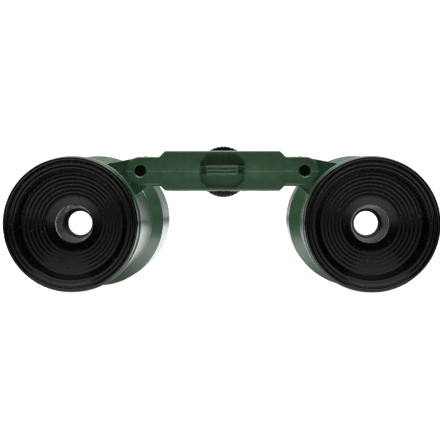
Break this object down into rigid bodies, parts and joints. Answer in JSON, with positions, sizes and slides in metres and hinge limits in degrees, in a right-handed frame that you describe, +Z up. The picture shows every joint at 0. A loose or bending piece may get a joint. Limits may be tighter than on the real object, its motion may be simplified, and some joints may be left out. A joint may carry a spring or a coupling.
{
  "type": "toy binoculars",
  "caption": "Small folding toy binoculars: two green barrels with black stepped eyecups on a flat double-hinged bridge with a knurled focus wheel.",
  "frame": {"origin": "middle of the bounding box's bottom face, on the ground under the barrels", "axes": "+X to the right barrel seen from the eyepieces, +Y from the eyepieces to the objectives, +Z up"},
  "size_m": [0.1134, 0.105, 0.0397],
  "materials": {
    "green_plastic": "glossy moulded dark green",
    "eyecup_black": "satin moulded black",
    "black_plastic": "satin black",
    "wheel_black": "satin black, knurled",
    "clear_plastic": "clear polished",
    "black_steel": "blackened",
    "screw_steel": "bright zinc"
  },
  "bodies": {
    "bridge": {"bridge_upper_shell": "green_plastic", "bridge_lower_shell": "green_plastic", "bridge_screw_1": "screw_steel", "bridge_screw_2": "screw_steel", "bridge_screw_3": "screw_steel", "bridge_screw_4": "screw_steel", "strap_lug": "green_plastic", "left_hinge_pin": "black_steel", "right_hinge_pin": "black_steel"},
    "focus_wheel": {"focus_wheel": "wheel_black", "focus_spindle": "screw_steel"},
    "focus_yoke": {"focus_yoke": "black_steel"},
    "left_barrel": {"left_barrel": "green_plastic", "left_objective_lens": "clear_plastic", "left_objective_ring": "black_plastic"},
    "left_eyepiece": {"left_draw_tube": "black_plastic", "left_eyecup": "eyecup_black", "left_eye_cell": "black_plastic", "left_eye_lens": "clear_plastic", "left_focus_arm": "black_steel"},
    "right_barrel": {"right_barrel": "green_plastic", "right_objective_lens": "clear_plastic", "right_objective_ring": "black_plastic"},
    "right_eyepiece": {"right_draw_tube": "black_plastic", "right_eyecup": "eyecup_black", "right_eye_cell": "black_plastic", "right_eye_lens": "clear_plastic", "right_focus_arm": "black_steel"}
  },
  "joints": [
    {"name": "left_fold", "type": "hinge", "parent": "bridge", "child": "left_barrel", "pos_m": [-0.0214, -0.018, 0.03278], "axis": [0, -1, 0], "range_deg": [-20, 54]},
    {"name": "right_fold", "type": "hinge", "parent": "bridge", "child": "right_barrel", "pos_m": [0.0214, -0.018, 0.03278], "axis": [0, 1, 0], "range_deg": [-20, 54]},
    {"name": "focus_turn", "type": "hinge", "parent": "bridge", "child": "focus_wheel", "pos_m": [0, -0.018, 0.03278], "axis": [0, 1, 0], "range_deg": [0, 450]},
    {"name": "yoke_slide", "type": "slide", "parent": "bridge", "child": "focus_yoke", "axis": [0, -1, 0], "range_m": [0, 0.003]},
    {"name": "left_eyepiece_slide", "type": "slide", "parent": "left_barrel", "child": "left_eyepiece", "axis": [0, -1, 0], "range_m": [0, 0.003]},
    {"name": "right_eyepiece_slide", "type": "slide", "parent": "right_barrel", "child": "right_eyepiece", "axis": [0, -1, 0], "range_m": [0, 0.003]}
  ],
  "couplings": [
    {"joint": "yoke_slide", "follows": "left_eyepiece_slide", "ratio": 1},
    {"joint": "right_eyepiece_slide", "follows": "left_eyepiece_slide", "ratio": 1},
    {"joint": "focus_turn", "follows": "left_eyepiece_slide", "rad_per_m": 2618}
  ]
}
